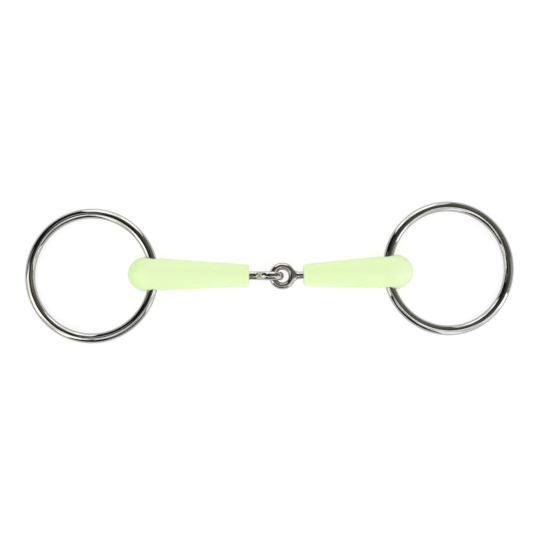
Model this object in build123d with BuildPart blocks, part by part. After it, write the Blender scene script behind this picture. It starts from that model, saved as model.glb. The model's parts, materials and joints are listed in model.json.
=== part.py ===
from build123d import *
import math
import os

# Single-jointed loose-ring snaffle bit, lying flat.
#
# Two cheek rings run through the ball ends of two moulded plastic mouthpiece covers. Each cover is
# moulded on a forged steel core. The cores link in the middle through two eyes at right angles to
# each other.
#
# Frame: +X along the mouthpiece, +Z up. The origin is on the floor, midway between the ring centres.
# Each half of the mouthpiece has a frame of its own: local x runs from its joint eye out to its ring,
# and local z is up.

# Cheek rings
RING_OUTER_DIAMETER = 80.0
WIRE_DIAMETER = 6.0
RING_TO_BORE = 36.25  # ring centre to bore axis

# Mouthpiece covers
BALL_RADIUS = 10.4
DOME_LENGTH = 12.0
BORE_TO_TIP = 14.6
BORE_DIAMETER = 8.4
SHOULDER_RADIUS = 9.4
SHOULDER_REACH = 6.5  # bore axis to where the ball end has blended into the taper
INNER_END_RADIUS = 6.5
INNER_END_ROUNDING = 1.1
MOUTH_ROUNDING = 0.7
LEFT_BORE_TO_END = 57.2
RIGHT_BORE_TO_END = 50.9

# Joint eyes and necks of the cores
EYE_OUTER_DIAMETER = 16.0
EYE_HOLE_DIAMETER = 7.3
EYE_THICKNESS = 5.0
EYE_EDGE_ROUNDING = 2.1
NECK_WIDTH = 4.5
NECK_FILLET = 4.0
EYE_SPACING = 7.0
LEFT_EYE_TO_COVER = 12.8
RIGHT_EYE_TO_COVER = 12.5

# Shanks and outer eyes of the cores, inside the covers
NECK_DEPTH = 6.0  # how far the neck runs on inside the cover
SHANK_RADIUS = 3.4
SHANK_DEPTH = 2.0  # where the shank starts, behind the cover's inner end
GROOVE_DEPTH = 0.8
GROOVE_WIDTH = 3.0
GROOVE_SPACING = 9.0
GROOVE_COUNT = 3
FIRST_GROOVE_DEPTH = 10.0
BUTT_EYE_RADIUS = 7.8
BUTT_EYE_THICKNESS = 8.0

# Ring bushes
BUSH_OUTER_RADIUS = 5.7
BUSH_LENGTH = 8.8
BUSH_RUNNING_CLEARANCE = 0.05
BUSH_END_CLEARANCE = 0.1

# Rest position
REST_BEND = 3.0  # degrees between the two halves
LEFT_RING_CANT = 2.2  # degrees, each ring askew in its bore
RIGHT_RING_CANT = 1.3

wire_radius = WIRE_DIAMETER / 2
ring_radius = RING_OUTER_DIAMETER / 2 - wire_radius
bore_radius = BORE_DIAMETER / 2
bush_seat_radius = BUSH_OUTER_RADIUS + BUSH_RUNNING_CLEARANCE
bush_seat_length = BUSH_LENGTH + 2 * BUSH_END_CLEARANCE

# The mouthpiece rests on its ball ends, and each ring leans from its bore down to the floor.
axis_height = BALL_RADIUS
ring_lean = math.asin((axis_height - wire_radius) / (RING_TO_BORE + ring_radius))
left_bore_reach = LEFT_EYE_TO_COVER + LEFT_BORE_TO_END
right_bore_reach = RIGHT_EYE_TO_COVER + RIGHT_BORE_TO_END

# The two halves meet at a slight angle, with both ring centres on the X axis. Each arm runs from the
# right joint eye to a ring's centre, first with the left half along -X, and is then turned level.
ring_offset = RING_TO_BORE * math.cos(ring_lean)
left_arm = Vector(-EYE_SPACING - left_bore_reach, 0, 0)
left_arm += Vector(-ring_offset, 0, 0).rotate(Axis.Z, LEFT_RING_CANT)
right_arm = Vector(right_bore_reach, 0, 0) + Vector(ring_offset, 0, 0).rotate(Axis.Z, RIGHT_RING_CANT)
right_arm = right_arm.rotate(Axis.Z, REST_BEND)
span = right_arm - left_arm
turn = -math.degrees(math.atan2(span.Y, span.X))
right_eye = (left_arm + right_arm).rotate(Axis.Z, turn) * -0.5 + Vector(0, 0, axis_height)
left_outward = Vector(-1, 0, 0).rotate(Axis.Z, turn)
right_outward = Vector(1, 0, 0).rotate(Axis.Z, REST_BEND + turn)
left_frame = Plane(origin=right_eye + left_outward * EYE_SPACING, x_dir=left_outward, z_dir=(0, 0, 1))
right_frame = Plane(origin=right_eye, x_dir=right_outward, z_dir=(0, 0, 1))


def upright(frame):
    """The frame's upright plane: x outward along the mouthpiece, y up, normal across the bit."""
    return Plane(origin=frame.origin, x_dir=frame.x_dir, z_dir=-frame.y_dir)


def at_bore(plane, bore_reach):
    """The same plane, moved outward to the bore axis."""
    return Plane(origin=plane.origin + plane.x_dir * bore_reach, x_dir=plane.x_dir, z_dir=plane.z_dir)


def axis_of(frame):
    """The mouthpiece's own axis, from the joint eye outward."""
    return Axis(frame.origin, frame.x_dir)


def make_core(name, frame, eye_plane, bore_reach, eye_to_cover):
    """Joint eye and neck, a grooved shank inside the cover, and the outer eye round the bush."""
    neck_length = eye_to_cover + NECK_DEPTH
    shank_start = eye_to_cover + SHANK_DEPTH
    first_groove = eye_to_cover + FIRST_GROOVE_DEPTH
    grooves = [(first_groove + i * GROOVE_SPACING, SHANK_RADIUS) for i in range(GROOVE_COUNT)]
    with BuildPart() as core:
        with BuildSketch(eye_plane) as outline:
            Circle(EYE_OUTER_DIAMETER / 2)
            with Locations((neck_length / 2, 0)):
                Rectangle(neck_length, NECK_WIDTH)
            right_of_hole = outline.vertices().filter_by(lambda v: v.X > EYE_HOLE_DIAMETER / 2)
            throat = right_of_hole.sort_by(Axis.X)[:2]
            fillet(throat, NECK_FILLET)
            Circle(EYE_HOLE_DIAMETER / 2, mode=Mode.SUBTRACT)
        extrude(amount=EYE_THICKNESS / 2, both=True)
        fillet(core.edges(), EYE_EDGE_ROUNDING)
        with BuildSketch(upright(frame)):
            with Locations((shank_start, 0)):
                Rectangle(bore_reach - shank_start, SHANK_RADIUS, align=Align.MIN)
            with Locations(*grooves):
                Rectangle(GROOVE_WIDTH, 2 * GROOVE_DEPTH, mode=Mode.SUBTRACT)
        revolve(axis=axis_of(frame))
        with BuildSketch(at_bore(upright(frame), bore_reach)):
            Circle(BUTT_EYE_RADIUS)
        extrude(amount=BUTT_EYE_THICKNESS / 2, both=True)
        with BuildSketch(at_bore(upright(frame), bore_reach)):
            Circle(bush_seat_radius)
        extrude(amount=BUTT_EYE_THICKNESS / 2, both=True, mode=Mode.SUBTRACT)
    core.part.label = name
    return core.part


def make_cover(name, frame, core, bore_reach, eye_to_cover):
    """Moulded taper with a ball end, filled by its core, with the ring's bore across it."""
    ball_centre = bore_reach + BORE_TO_TIP - DOME_LENGTH
    shoulder = bore_reach - SHOULDER_REACH
    taper = (SHOULDER_RADIUS - INNER_END_RADIUS, shoulder - eye_to_cover)
    with BuildPart() as cover:
        with BuildSketch(upright(frame)) as profile:
            with BuildLine():
                Polyline(
                    (ball_centre + DOME_LENGTH, 0),
                    (eye_to_cover, 0),
                    (eye_to_cover, INNER_END_RADIUS),
                    (shoulder, SHOULDER_RADIUS),
                )
                Spline(
                    (shoulder, SHOULDER_RADIUS),
                    (ball_centre, BALL_RADIUS),
                    tangents=[(taper[1], taper[0]), (1, 0)],
                )
                EllipticalCenterArc((ball_centre, 0), DOME_LENGTH, BALL_RADIUS, start_angle=0, arc_size=90)
            make_face()
            inner_end = profile.vertices().group_by(Axis.X)[0].sort_by(Axis.Y)[-1]
            fillet(inner_end, INNER_END_ROUNDING)
        revolve(axis=axis_of(frame))
        with BuildSketch(at_bore(upright(frame), bore_reach)):
            Circle(bore_radius)
        extrude(amount=2 * BALL_RADIUS, both=True, mode=Mode.SUBTRACT)
        mouths = [e for e in cover.edges() if abs(e.center().Y - frame.origin.Y) > bush_seat_radius]
        fillet(mouths, MOUTH_ROUNDING)
        with BuildSketch(at_bore(upright(frame), bore_reach)):
            Circle(bush_seat_radius)
        extrude(amount=bush_seat_length / 2, both=True, mode=Mode.SUBTRACT)
        add(core, mode=Mode.SUBTRACT)
    cover.part.label = name
    return cover.part


def make_bush(name, frame, bore_reach):
    """Steel sleeve that turns in the core's outer eye and guides the ring."""
    with BuildPart() as bush:
        with BuildSketch(at_bore(upright(frame), bore_reach)):
            Circle(BUSH_OUTER_RADIUS)
            Circle(bore_radius, mode=Mode.SUBTRACT)
        extrude(amount=BUSH_LENGTH / 2, both=True)
    bush.part.label = name
    return bush.part


def leaning_plane(frame, bore_reach, cant):
    """The ring's plane: origin at its centre, x from the bore outward and down to the floor."""
    outward = frame.x_dir.rotate(Axis.Z, cant)
    downward = outward * math.cos(ring_lean) - Vector(0, 0, math.sin(ring_lean))
    normal = outward * math.sin(ring_lean) + Vector(0, 0, math.cos(ring_lean))
    bore = frame.origin + frame.x_dir * bore_reach
    return Plane(origin=bore + downward * RING_TO_BORE, x_dir=downward, z_dir=normal)


def make_ring(name, ring_plane):
    """Round wire ring."""
    with BuildPart(ring_plane) as ring:
        Torus(ring_radius, wire_radius)
    ring.part.label = name
    return ring.part


os.makedirs("parts", exist_ok=True)
halves = [
    ("left", left_frame, upright(left_frame), left_bore_reach, LEFT_EYE_TO_COVER, LEFT_RING_CANT),
    ("right", right_frame, right_frame, right_bore_reach, RIGHT_EYE_TO_COVER, RIGHT_RING_CANT),
]
for side, frame, eye_plane, bore_reach, eye_to_cover, cant in halves:
    core = make_core(f"{side}_core", frame, eye_plane, bore_reach, eye_to_cover)
    cover = make_cover(f"{side}_cover", frame, core, bore_reach, eye_to_cover)
    bush = make_bush(f"{side}_ring_bush", frame, bore_reach)
    ring = make_ring(f"{side}_cheek_ring", leaning_plane(frame, bore_reach, cant))
    for piece in (core, cover, bush, ring):
        export_step(piece, f"parts/{piece.label}.step")
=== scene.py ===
"""Looks of a single-jointed loose-ring snaffle bit: mirror-polished rings, polished linked eyes and
pale green moulded covers, lying flat on a white table in a light tent.

Shapes are worked out in millimetres in a frame of each half's own: x runs from the joint eye out to
the ring, y across and z up. They are written to the meshes in metres, in the row frame.
"""

import json
import math

import bmesh
import bpy
import numpy as np
from mathutils import Matrix, Vector


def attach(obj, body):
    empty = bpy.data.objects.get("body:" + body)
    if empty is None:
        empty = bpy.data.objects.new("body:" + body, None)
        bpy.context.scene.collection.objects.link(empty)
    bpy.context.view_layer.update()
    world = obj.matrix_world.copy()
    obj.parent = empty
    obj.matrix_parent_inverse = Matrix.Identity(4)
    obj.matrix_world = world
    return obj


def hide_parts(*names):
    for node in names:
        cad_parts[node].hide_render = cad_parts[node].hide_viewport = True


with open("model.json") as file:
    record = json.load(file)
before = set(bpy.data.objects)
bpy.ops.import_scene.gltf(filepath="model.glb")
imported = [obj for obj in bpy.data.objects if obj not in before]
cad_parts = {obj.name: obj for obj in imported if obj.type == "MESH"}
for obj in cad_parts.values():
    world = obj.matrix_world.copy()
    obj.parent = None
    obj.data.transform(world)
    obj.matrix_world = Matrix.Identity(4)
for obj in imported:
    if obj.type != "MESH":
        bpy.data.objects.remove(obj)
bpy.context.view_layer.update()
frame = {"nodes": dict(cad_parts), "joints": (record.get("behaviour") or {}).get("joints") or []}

MM = 0.001
SIDES = ("left", "right")

# Rings
WIRE_RADIUS = 3.0
RING_RADIUS = 37.0
RING_STEPS = 720
WIRE_STEPS = 72
WELD_ANGLE = math.radians(248)
WELD_WIDTH = 2.2
WELD_SWELL = 0.035

# Covers
BALL_RADIUS = 10.4
DOME_LENGTH = 12.0
BORE_TO_TIP = 14.6
BORE_RADIUS = 4.2
SHOULDER_RADIUS = 9.4
SHOULDER_REACH = 6.5
INNER_END_RADIUS = 6.5
INNER_END_ROUNDING = 1.1
MOUTH_ROUNDING = 0.7
PARTING_HEIGHT = 0.06
PARTING_WIDTH = 0.3
GATE_TO_TIP = 2.9
GATE_TO_MIDDLE = 2.0
GATE_HEIGHT_ABOVE_AXIS = 6.2
GATE_RADIUS = 0.9
GATE_RISE = 0.12
GATE_PIT_RADIUS = 0.42
GATE_PIT_DEPTH = 0.5
COVER_RIPPLE = 0.012
COVER_RIPPLE_LENGTH = 13.0
COVER_VOXEL = 0.285

# Cores
EYE_RADIUS = 8.0
EYE_HOLE_RADIUS = 3.65
EYE_HALF_THICKNESS = 2.5
EYE_ROUNDING = 2.1
FACE_ROUNDING = 2.45
NECK_HALF_WIDTH = 2.25
NECK_FILLET = 4.0
EYE_SPACING = {"left": 7.0, "right": 0.0}
EYE_TO_COVER = {"left": 12.8, "right": 12.5}
SHANK_RADIUS = 3.4
SHANK_DEPTH = 2.0
SHANK_OVERLAP = 2.0
BUTT_EYE_RADIUS = 7.8
BUTT_EYE_HALF_THICKNESS = 4.0
BUSH_SEAT_RADIUS = 5.75
BUSH_SEAT_HALF_LENGTH = 4.5
FORGING_RIPPLE = 0.02
FORGING_RIPPLE_LENGTH = 7.0
CORE_VOXEL = 0.23

# How a voxel mesh is laid onto its field
SHAPING_ROUNDS = 3
RELAX_SHARE = 0.5
SURFACE_STEPS = 3
LONGEST_STEP = 0.15
SLOPE_REACH = 0.01
LEAST_SLOPE = 0.5

# Where each half lies, from the frame's joints
joints = {joint["name"]: joint for joint in frame["joints"]}


def joint_point(name):
    return np.array(joints[name]["pos_m"]) / MM


class Half:
    """The local frame of one half of the mouthpiece, in millimetres."""

    def __init__(self, side):
        centre = joint_point("centre_fold")
        bore = joint_point(f"{side}_ring_swing")
        self.side = side
        self.outward = (bore - centre) / np.linalg.norm(bore - centre)
        self.up = np.array([0.0, 0.0, 1.0])
        self.across = np.cross(self.up, self.outward)
        self.origin = centre + self.outward * EYE_SPACING[side]
        self.bore = float(np.dot(bore - self.origin, self.outward))
        self.basis = np.stack([self.outward, self.across, self.up], axis=1)

    def to_local(self, points):
        return (points - self.origin) @ self.basis

    def to_row(self, points):
        return points @ self.basis.T + self.origin


# Fields: negative inside the shape, positive outside, zero on its surface

def rounded_max(a, b, radius):
    """The part common to two shapes, with their shared edge rounded."""
    a, b = a + radius, b + radius
    return np.hypot(np.maximum(a, 0), np.maximum(b, 0)) + np.minimum(np.maximum(a, b), 0) - radius


def ripple(x, y, z, length):
    """Gentle unevenness, between 0 and about 3.2, with features of about the given length."""
    k = math.tau / length
    return 1.6 + (np.sin(k * (0.9 * x + 0.4 * y) + 1.3) * np.cos(k * (0.7 * z - 0.5 * y) + 0.4)
            + 0.6 * np.sin(k * 1.7 * (0.3 * x - 0.8 * z) + 2.1) * np.cos(k * 1.9 * (y + 0.2 * x)))


def eye_outline(x, side):
    """Eye and neck, side being the distance to either side of the neck, with a fillet between them."""
    from_centre = np.hypot(x, side)
    side = np.abs(side)
    neck = np.maximum(side - NECK_HALF_WIDTH, -x)
    rise = NECK_HALF_WIDTH + NECK_FILLET
    run = math.sqrt((EYE_RADIUS + NECK_FILLET) ** 2 - rise**2)
    in_throat = (x < run) & (side * run < x * rise)
    throat = np.where(in_throat, NECK_FILLET - np.hypot(x - run, side - rise), neck)
    outline = np.minimum(np.minimum(from_centre - EYE_RADIUS, neck), throat)
    return np.maximum(outline, EYE_HOLE_RADIUS - from_centre)


def core_field(half, points):
    """Joint eye and neck, the shank inside the cover, and the outer eye round the bush."""
    x, y, z = points.T
    in_plane, through = (z, y) if half.side == "left" else (y, z)
    outline = eye_outline(x, in_plane) + FORGING_RIPPLE * ripple(x, y, z, FORGING_RIPPLE_LENGTH)
    face = (np.abs(through) - EYE_HALF_THICKNESS) * EYE_ROUNDING / FACE_ROUNDING
    eye = rounded_max(outline, face, EYE_ROUNDING)
    shank_start = EYE_TO_COVER[half.side] + SHANK_DEPTH
    eye = np.maximum(eye, x - shank_start - SHANK_OVERLAP)
    shank = np.hypot(y, z) - SHANK_RADIUS
    shank = np.maximum(shank, np.maximum(shank_start - x, x - half.bore))
    from_bore = np.hypot(x - half.bore, z)
    butt = np.maximum(from_bore - BUTT_EYE_RADIUS, BUSH_SEAT_RADIUS - from_bore)
    butt = np.maximum(butt, np.abs(y) - BUTT_EYE_HALF_THICKNESS)
    shank = np.maximum(shank, BUSH_SEAT_RADIUS - from_bore)
    return np.minimum(np.minimum(eye, shank), butt)


def cover_radius(half, x):
    """Radius of the cover's taper and of its shoulder, up to the widest place of the ball."""
    shoulder = half.bore - SHOULDER_REACH
    ball = half.bore + BORE_TO_TIP - DOME_LENGTH
    start = EYE_TO_COVER[half.side]
    slope = (SHOULDER_RADIUS - INNER_END_RADIUS) / (shoulder - start)
    taper = INNER_END_RADIUS + slope * (x - start)
    span = ball - shoulder
    t = np.clip((x - shoulder) / span, 0, 1)
    rise = ((2 * t**3 - 3 * t**2 + 1) * SHOULDER_RADIUS + (t**3 - 2 * t**2 + t) * span * slope
            + (3 * t**2 - 2 * t**3) * BALL_RADIUS)
    return np.where(x < shoulder, taper, rise)


def gate_mark(half, x, y, z):
    """Small raised ring with a dimple, where the plastic was let into the mould."""
    at_x = half.bore + BORE_TO_TIP - GATE_TO_TIP
    at_y = -GATE_TO_MIDDLE
    at_z = GATE_HEIGHT_ABOVE_AXIS if half.side == "left" else -GATE_HEIGHT_ABOVE_AXIS
    distance = np.sqrt((x - at_x) ** 2 + (y - at_y) ** 2 + (z - at_z) ** 2) / GATE_RADIUS
    pit = np.exp(-(distance * GATE_RADIUS / GATE_PIT_RADIUS) ** 4)
    return GATE_RISE * np.exp(-distance**4) - GATE_PIT_DEPTH * pit


def cover_field(half, points):
    """Tapered cover with a ball end, hollow for its core, with the ring's bore across it."""
    x, y, z = points.T
    radius = np.hypot(y, z)
    ball = half.bore + BORE_TO_TIP - DOME_LENGTH
    dome = (np.hypot((x - ball) / DOME_LENGTH, radius / BALL_RADIUS) - 1) * BALL_RADIUS
    skin = np.where(x > ball, dome, radius - cover_radius(half, x))
    beside = np.clip(np.abs(y) / np.maximum(radius, 0.1) * 2 - 1, 0, 1)
    skin = skin - PARTING_HEIGHT * beside * np.exp(-(z / PARTING_WIDTH) ** 2)
    skin = skin + COVER_RIPPLE * ripple(x, y, z, COVER_RIPPLE_LENGTH) - gate_mark(half, x, y, z)
    body = rounded_max(skin, EYE_TO_COVER[half.side] - x, INNER_END_ROUNDING)
    from_bore = np.hypot(x - half.bore, z)
    body = rounded_max(body, BORE_RADIUS - from_bore, MOUTH_ROUNDING)
    seat = np.maximum(np.abs(y) - BUSH_SEAT_HALF_LENGTH, from_bore - BUSH_SEAT_RADIUS)
    return np.maximum(np.maximum(body, -seat), -core_field(half, points))


# Meshes

def voxel_copy(node, half, voxel):
    """An even quad mesh of a CAD node, in its half's frame: vertices, faces and edges."""
    mesh = frame["nodes"][node].data.copy()
    row = np.array([v.co for v in mesh.vertices]) / MM
    mesh.vertices.foreach_set("co", half.to_local(row).astype(np.float32).ravel())
    work = bmesh.new()
    work.from_mesh(mesh)
    bmesh.ops.remove_doubles(work, verts=work.verts, dist=0.001)
    work.to_mesh(mesh)
    work.free()
    holder = bpy.data.objects.new("voxel_work", mesh)
    bpy.context.scene.collection.objects.link(holder)
    remesh = holder.modifiers.new("remesh", "REMESH")
    remesh.mode = "VOXEL"
    remesh.voxel_size = voxel
    ready = holder.evaluated_get(bpy.context.evaluated_depsgraph_get())
    even = bpy.data.meshes.new_from_object(ready)
    bpy.data.objects.remove(holder)
    points = np.array([v.co for v in even.vertices])
    faces = [tuple(p.vertices) for p in even.polygons]
    edges = np.array([tuple(e.vertices) for e in even.edges])
    return points, faces, edges


def relax(points, edges):
    """Moves each point towards the middle of its neighbours."""
    total = np.zeros_like(points)
    count = np.zeros(len(points))
    for a, b in ((0, 1), (1, 0)):
        np.add.at(total, edges[:, a], points[edges[:, b]])
        np.add.at(count, edges[:, a], 1)
    middle = total / np.maximum(count, 1)[:, None]
    return points + RELAX_SHARE * (middle - points)


def onto_surface(points, field, half):
    """Moves each point along the field's slope to where the field is zero."""
    for _ in range(SURFACE_STEPS):
        value = field(half, points)
        slope = np.stack([field(half, points + reach) - field(half, points - reach)
                          for reach in SLOPE_REACH * np.eye(3)], axis=1) / (2 * SLOPE_REACH)
        steep = np.maximum((slope**2).sum(axis=1), LEAST_SLOPE**2)
        step = np.clip(value / steep, -LONGEST_STEP, LONGEST_STEP)
        points = points - step[:, None] * slope
    return points


def add_piece(name, row, faces):
    """A smooth mesh object from points in the row frame, in millimetres."""
    mesh = bpy.data.meshes.new(name)
    mesh.from_pydata((row * MM).tolist(), [], faces)
    mesh.validate()
    mesh.polygons.foreach_set("use_smooth", [True] * len(mesh.polygons))
    mesh.update()
    piece = bpy.data.objects.new(name, mesh)
    bpy.context.scene.collection.objects.link(piece)
    return piece


def sculpt(name, node, half, field, voxel):
    """A dense mesh of a CAD node that follows a field exactly."""
    points, faces, edges = voxel_copy(node, half, voxel)
    for _ in range(SHAPING_ROUNDS):
        points = onto_surface(relax(points, edges), field, half)
    return add_piece(name, half.to_row(points), faces)


def make_ring(side):
    """Round wire bent to a ring, with a dressed weld."""
    centre = joint_point(f"{side}_ring_spin")
    normal = np.array(joints[f"{side}_ring_spin"]["axis"])
    outward = np.cross([0.0, 1.0, 0.0], normal)
    outward /= np.linalg.norm(outward)
    across = np.cross(normal, outward)
    around = np.arange(RING_STEPS) * math.tau / RING_STEPS
    section = np.arange(WIRE_STEPS) * math.tau / WIRE_STEPS
    around_grid, section_grid = np.meshgrid(around, section, indexing="ij")
    from_weld = (around_grid - WELD_ANGLE + math.pi) % math.tau - math.pi
    swell = WELD_SWELL * np.exp(-(from_weld * RING_RADIUS / WELD_WIDTH) ** 2)
    wire = WIRE_RADIUS - WELD_SWELL + swell
    reach = RING_RADIUS + wire * np.cos(section_grid)
    points = (centre + (reach * np.cos(around_grid))[..., None] * outward
              + (reach * np.sin(around_grid))[..., None] * across
              + (wire * np.sin(section_grid))[..., None] * normal)
    index = np.arange(RING_STEPS * WIRE_STEPS).reshape(RING_STEPS, WIRE_STEPS)
    after = np.roll(index, -1, axis=0)
    faces = np.stack([index, after, np.roll(after, -1, axis=1), np.roll(index, -1, axis=1)], axis=-1)
    piece = add_piece(f"{side}_ring_wire", points.reshape(-1, 3), faces.reshape(-1, 4).tolist())
    grain = np.stack([np.cos(around_grid) * RING_RADIUS, np.sin(around_grid) * RING_RADIUS,
                      section_grid * WIRE_RADIUS], axis=-1).reshape(-1, 3)
    layer = piece.data.attributes.new("grain", "FLOAT_VECTOR", "POINT")
    layer.data.foreach_set("vector", grain.astype(np.float32).ravel())
    return piece


# Materials

def new_material(name):
    material = bpy.data.materials.new(name)
    material.use_nodes = True
    tree = material.node_tree
    return material, tree, tree.nodes["Principled BSDF"]


def add_node(tree, kind, inputs=(), **settings):
    """A node with its settings set, and its inputs linked to sockets or set to values."""
    node = tree.nodes.new(kind)
    for key, value in settings.items():
        setattr(node, key, value)
    for key, value in dict(inputs).items():
        if isinstance(value, bpy.types.NodeSocket):
            tree.links.new(value, node.inputs[key])
        else:
            node.inputs[key].default_value = value
    return node


def noise(tree, where, scale, detail):
    node = add_node(tree, "ShaderNodeTexNoise", {"Vector": where, "Scale": scale, "Detail": detail})
    return node.outputs["Fac"]


def mapped(tree, value, from_range, to_range):
    """Maps a value from one range to another, and holds it at their ends."""
    node = add_node(tree, "ShaderNodeMapRange", {"Value": value, "From Min": from_range[0],
                                                 "From Max": from_range[1], "To Min": to_range[0],
                                                 "To Max": to_range[1]})
    return node.outputs["Result"]


def mixed(tree, share, first, second):
    """Mixes two colours, each a socket or a plain colour."""
    node = add_node(tree, "ShaderNodeMix", {"Factor": share}, data_type="RGBA")
    for key, colour in (("A", first), ("B", second)):
        if isinstance(colour, bpy.types.NodeSocket):
            tree.links.new(colour, node.inputs[key])
        else:
            node.inputs[key].default_value = (*colour, 1)
    return node.outputs["Result"]


def finish_surface(tree, shader, colour, roughness, height, strength, distance):
    """Links a colour, a roughness and a fine bump to a shader."""
    tree.links.new(colour, shader.inputs["Base Color"])
    tree.links.new(roughness, shader.inputs["Roughness"])
    bump = add_node(tree, "ShaderNodeBump", {"Height": height, "Strength": strength,
                                             "Distance": distance})
    tree.links.new(bump.outputs["Normal"], shader.inputs["Normal"])


NOISE_RANGE = (0.3, 0.7)  # where most of a noise texture's values lie
STEEL_HAZE_SCALE = 90.0
STEEL_GRAIN_SCALE = 900.0
POLISH_STRETCH = (0.12, 0.12, 9.0)  # polishing lines run along the wire
PLASTIC_CLOUD_SCALE = 70.0
PLASTIC_GRAIN_SCALE = 2600.0
PLASTIC_TONES = ((0.735, 0.90, 0.49), (0.765, 0.915, 0.53))
PLASTIC_ROUGHNESS = (0.36, 0.48)
LEFT_TIP_TONE = (0.70, 0.905, 0.44)
LEFT_TIP_REACH = (-0.0755, -0.0815)  # metres along x, from where the tone begins to where it is full
# The right tip's paler tone is a painted glow, standing in for light falling on it from the floor and the
# right side.
RIGHT_TIP_PAINTED_GLOW = (0.86, 0.95, 0.70)
RIGHT_TIP_GLOW_REACH = (0.068, 0.088)
RIGHT_TIP_GLOW_SHARE = 0.7
TABLE_MOTTLE_SCALE = 6.0
TABLE_TONES = ((0.38, 0.38, 0.38), (0.42, 0.42, 0.42))
TABLE_GLOW = 0.66
TABLE_GLOW_IN_REFLECTIONS = 0.32


def steel(name, tint, dark_tint, roughness, streaks=False):
    """Polished stainless steel. streaks turns on fine polishing lines along the wire."""
    material, tree, shader = new_material(name)
    where = add_node(tree, "ShaderNodeTexCoord").outputs["Object"]
    haze = noise(tree, where, STEEL_HAZE_SCALE, detail=4.0)
    if streaks:
        grain = add_node(tree, "ShaderNodeAttribute", attribute_name="grain").outputs["Vector"]
        stretched = add_node(tree, "ShaderNodeVectorMath", {0: grain, 1: POLISH_STRETCH},
                             operation="MULTIPLY").outputs["Vector"]
        mark = noise(tree, stretched, scale=1.0, detail=5.0)
    else:
        mark = noise(tree, where, STEEL_GRAIN_SCALE, detail=3.0)
    tone = mixed(tree, haze, dark_tint, tint)
    finish_surface(tree, shader, tone, mapped(tree, mark, NOISE_RANGE, roughness), mark,
                   strength=0.12, distance=0.00002)
    shader.inputs["Metallic"].default_value = 1.0
    return material


def moulded_plastic(name):
    """Pale green, satin, slightly translucent moulding, deeper at the left tip, with a painted glow that
    pales it towards the right tip.
    """
    material, tree, shader = new_material(name)
    where = add_node(tree, "ShaderNodeTexCoord").outputs["Object"]
    cloud = noise(tree, where, PLASTIC_CLOUD_SCALE, detail=3.0)
    grain = noise(tree, where, PLASTIC_GRAIN_SCALE, detail=2.0)
    along = add_node(tree, "ShaderNodeSeparateXYZ", {"Vector": where}).outputs["X"]
    colour = mixed(tree, cloud, PLASTIC_TONES[0], PLASTIC_TONES[1])
    at_left_tip = mapped(tree, along, LEFT_TIP_REACH, (0.0, 1.0))
    colour = mixed(tree, at_left_tip, colour, LEFT_TIP_TONE)
    # Painted glow: pales the right tip as if lit from the floor and the right side.
    painted_glow_at_right_tip = mapped(tree, along, RIGHT_TIP_GLOW_REACH, (0.0, RIGHT_TIP_GLOW_SHARE))
    colour = mixed(tree, painted_glow_at_right_tip, colour, RIGHT_TIP_PAINTED_GLOW)
    finish_surface(tree, shader, colour, mapped(tree, grain, NOISE_RANGE, PLASTIC_ROUGHNESS), grain,
                   strength=0.25, distance=0.00003)
    shader.inputs["Subsurface Weight"].default_value = 0.35
    shader.inputs["Subsurface Radius"].default_value = (1.0, 1.2, 0.5)
    shader.inputs["Subsurface Scale"].default_value = 0.002
    shader.inputs["Specular IOR Level"].default_value = 0.28
    shader.inputs["Sheen Weight"].default_value = 0.3
    shader.inputs["Sheen Roughness"].default_value = 0.4
    shader.inputs["Sheen Tint"].default_value = (0.86, 1.0, 0.62, 1)
    return material


def table_top(name):
    """White acrylic, lit from below."""
    material, tree, shader = new_material(name)
    where = add_node(tree, "ShaderNodeTexCoord").outputs["Object"]
    mottle = noise(tree, where, TABLE_MOTTLE_SCALE, detail=2.0)
    tone = mixed(tree, mottle, TABLE_TONES[0], TABLE_TONES[1])
    tree.links.new(tone, shader.inputs["Base Color"])
    shader.inputs["Roughness"].default_value = 0.9
    shader.inputs["Specular IOR Level"].default_value = 0.1
    shader.inputs["Emission Color"].default_value = (1, 1, 1, 1)
    glossy = add_node(tree, "ShaderNodeLightPath").outputs["Is Glossy Ray"]
    glow = mapped(tree, glossy, (0.0, 1.0), (TABLE_GLOW, TABLE_GLOW_IN_REFLECTIONS))
    tree.links.new(glow, shader.inputs["Emission Strength"])
    return material


ring_steel = steel("ring_steel", tint=(0.69, 0.69, 0.685), dark_tint=(0.59, 0.59, 0.585),
                   roughness=(0.02, 0.08), streaks=True)
core_steel = steel("core_steel", tint=(0.70, 0.69, 0.675), dark_tint=(0.57, 0.555, 0.54),
                   roughness=(0.04, 0.12))
bush_steel = steel("bush_steel", tint=(0.55, 0.54, 0.52), dark_tint=(0.45, 0.44, 0.42),
                   roughness=(0.25, 0.4))
cover_plastic = moulded_plastic("cover_plastic")

# Pieces
for side in SIDES:
    half = Half(side)
    made = (
        (make_ring(side), f"{side}_cheek_ring", f"{side}_ring", "ring_steel", ring_steel),
        (sculpt(f"{side}_core_forging", f"{side}_core", half, core_field, CORE_VOXEL),
         f"{side}_core", f"{side}_cannon", "core_steel", core_steel),
        (sculpt(f"{side}_cover_moulding", f"{side}_cover", half, cover_field, COVER_VOXEL),
         f"{side}_cover", f"{side}_cannon", "cover_plastic", cover_plastic),
    )
    for piece, node, body, slot, material in made:
        piece.data.materials.append(material)
        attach(piece, body)
        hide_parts(node)
    bush = frame["nodes"][f"{side}_ring_bush"]
    bush.material_slots[0].material = bush_steel

# Table
TABLE_SIZE = 4.0
TABLE_SEGMENTS = 8
TABLE_DROP = 0.0002  # metres, so that the table stays clear of the bit

table_mesh = bpy.data.meshes.new("table")
grid = bmesh.new()
bmesh.ops.create_grid(grid, x_segments=TABLE_SEGMENTS, y_segments=TABLE_SEGMENTS, size=TABLE_SIZE / 2)
grid.to_mesh(table_mesh)
grid.free()
table = bpy.data.objects.new("table", table_mesh)
table.location.z = -TABLE_DROP
table_mesh.materials.append(table_top("table_top"))
bpy.context.scene.collection.objects.link(table)


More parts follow.
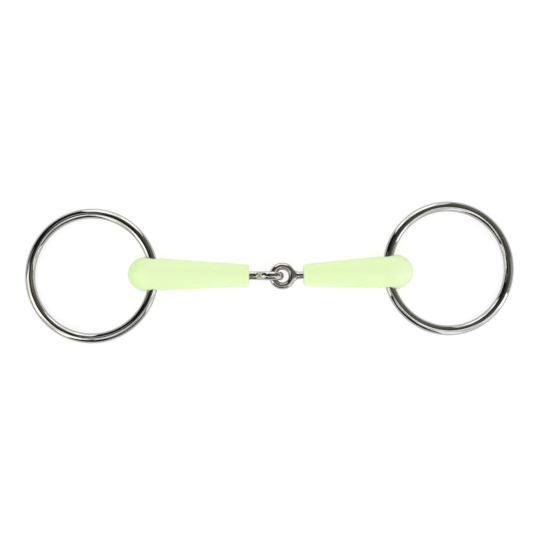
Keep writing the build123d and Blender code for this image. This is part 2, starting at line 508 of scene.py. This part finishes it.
# Light
def panel(name, centre, size, facing, tint, strips):
    """A lit panel of strips side by side, left to right, seen in reflections but not by the camera."""
    turned = Vector(facing).to_track_quat("-Z", "Y")
    along = turned @ Vector((-1, 0, 0))
    width = size[0] / len(strips)
    for i, radiance in enumerate(strips):
        light = bpy.data.lights.new(f"{name}_{i}", "AREA")
        light.shape = "RECTANGLE"
        light.size, light.size_y = width, size[1]
        light.energy = radiance * math.pi * width * size[1]
        light.color = tint
        lamp = bpy.data.objects.new(light.name, light)
        lamp.location = Vector(centre) + along * (i + 0.5 - len(strips) / 2) * width
        lamp.rotation_euler = turned.to_euler()
        lamp.visible_camera = False
        lamp.visible_diffuse = False
        bpy.context.scene.collection.objects.link(lamp)


panel("back", centre=(-0.004, 0.30, 0.12), size=(0.39, 0.25), facing=(0, -1, -0.1),
      tint=(1, 1, 0.97), strips=(1.4, 1.7, 1.2, 1.5, 1.6, 0.85))
panel("front_left", centre=(-0.23, -0.0715, 0.115), size=(0.19, 0.17), facing=(0.9, 0.44, -0.35),
      tint=(1, 0.98, 0.90), strips=(1.7, 1.0, 1.8, 1.4))
panel("front_right", centre=(0.2205, -0.119, 0.10), size=(0.245, 0.20), facing=(-0.433, 0.9, -0.15),
      tint=(0.98, 0.98, 1), strips=(1.6, 1.0, 0.75, 1.2))
panel("overhead", centre=(0.0, -0.09, 0.25), size=(0.48, 0.055), facing=(0, 0.34, -1),
      tint=(1, 0.99, 0.97), strips=(1.3, 1.7, 1.1, 0.7, 0.4, 0.8, 1.4, 1.1))
panel("high_front", centre=(-0.03, -0.25, 0.36), size=(0.36, 0.10), facing=(0, 0.6, -1),
      tint=(1, 0.99, 0.97), strips=(1.2, 0.5, 0.9, 1.2))
panel("card_above", centre=(0.02, 0.0, 0.40), size=(0.16, 0.12), facing=(0, 0, -1),
      tint=(1, 0.92, 0.84), strips=(0.14,))
panel("card_back_left", centre=(-0.22, 0.10, 0.32), size=(0.08, 0.08), facing=(0.6, -0.3, -1),
      tint=(0.93, 0.93, 1), strips=(0.5,))
panel("card_far", centre=(0.13, -0.50, 0.27), size=(0.46, 0.34), facing=(-0.2, 1, -0.5),
      tint=(1, 0.93, 0.90), strips=(0.05, 0.12, 0.08))
panel("card_left", centre=(-0.40, 0.06, 0.20), size=(0.10, 0.14), facing=(1, 0, -0.4),
      tint=(0.93, 0.95, 1), strips=(0.6, 0.25))
panel("card_right", centre=(0.40, -0.02, 0.16), size=(0.12, 0.12), facing=(-1, 0, -0.4),
      tint=(0.93, 0.96, 1), strips=(0.35,))

# Surroundings: a bright tent lights the bit, and reflections show a dim, uneven room instead
TENT_LEVEL = 1.07
TENT_LEAN = (0.0, -0.10, 0.0)
ROOM_STRETCH = (1.0, 1.0, 0.35)
ROOM_PATCH_SCALE = 4.2
ROOM_LEAN = (1.0, 0.2, 0.25)
ROOM_UNEVENNESS = 1.3
ROOM_RANGE = (-0.25, 1.55)
ROOM_DARKEST = (0.002, 0.002, 0.003)
ROOM_LIGHTEST = (0.17, 0.165, 0.13)
ROOM_TONES = (
    (0.42, (0.008, 0.008, 0.007)),
    (0.6, (0.04, 0.038, 0.032)),
    (0.78, (0.09, 0.086, 0.066)),
)


def room_colour(sky, direction):
    """Dim walls, brighter towards ROOM_LEAN, with upright patches."""
    upright = add_node(sky, "ShaderNodeVectorMath", {0: direction, 1: ROOM_STRETCH},
                       operation="MULTIPLY").outputs["Vector"]
    clutter = noise(sky, upright, ROOM_PATCH_SCALE, detail=3.0)
    lean = add_node(sky, "ShaderNodeVectorMath", {0: direction, 1: ROOM_LEAN},
                    operation="DOT_PRODUCT").outputs["Value"]
    uneven = add_node(sky, "ShaderNodeMath", {0: clutter, 1: ROOM_UNEVENNESS, 2: lean},
                      operation="MULTIPLY_ADD").outputs["Value"]
    wall = add_node(sky, "ShaderNodeValToRGB", {"Fac": mapped(sky, uneven, ROOM_RANGE, (0.0, 1.0))})
    wall.color_ramp.elements[0].color = (*ROOM_DARKEST, 1)
    wall.color_ramp.elements[1].color = (*ROOM_LIGHTEST, 1)
    for position, tone in ROOM_TONES:
        wall.color_ramp.elements.new(position).color = (*tone, 1)
    return wall.outputs["Color"]


world = bpy.data.worlds.new("studio")
bpy.context.scene.world = world
world.use_nodes = True
sky = world.node_tree
direction = add_node(sky, "ShaderNodeTexCoord").outputs["Generated"]
room = sky.nodes["Background"]
room.inputs["Strength"].default_value = 1.0
sky.links.new(room_colour(sky, direction), room.inputs["Color"])
forward = add_node(sky, "ShaderNodeVectorMath", {0: direction, 1: TENT_LEAN},
                   operation="DOT_PRODUCT").outputs["Value"]
level = add_node(sky, "ShaderNodeMath", {0: forward, 1: TENT_LEVEL}, operation="ADD").outputs["Value"]
tent = add_node(sky, "ShaderNodeBackground", {"Color": (1, 1, 1, 1), "Strength": level})
glossy = add_node(sky, "ShaderNodeLightPath").outputs["Is Glossy Ray"]
chosen = add_node(sky, "ShaderNodeMixShader", {0: glossy, 1: tent.outputs[0], 2: room.outputs[0]})
sky.links.new(chosen.outputs[0], sky.nodes["World Output"].inputs["Surface"])

# Camera
CAMERA_PLACE = Vector((-0.0319, -0.0251, 1.0))
CAMERA_AIM = Vector((-0.0022, 0.0036, 0.0))
CAMERA_ROLL = math.radians(1.27)
VIEW_WIDTH = 0.3191

ahead = (CAMERA_AIM - CAMERA_PLACE).normalized()
rightward = ahead.cross(Vector((0, 1, 0))).normalized()
turn = Matrix((rightward, rightward.cross(ahead), -ahead)).transposed()
camera_data = bpy.data.cameras.new("camera")
camera_data.sensor_width = 36
camera_data.lens = camera_data.sensor_width * CAMERA_PLACE.z / VIEW_WIDTH
camera = bpy.data.objects.new("camera", camera_data)
camera.location = CAMERA_PLACE
camera.rotation_euler = (turn @ Matrix.Rotation(-CAMERA_ROLL, 3, "Z")).to_euler()
bpy.context.scene.collection.objects.link(camera)
bpy.context.scene.camera = camera
bpy.context.scene.view_settings.view_transform = "Standard"
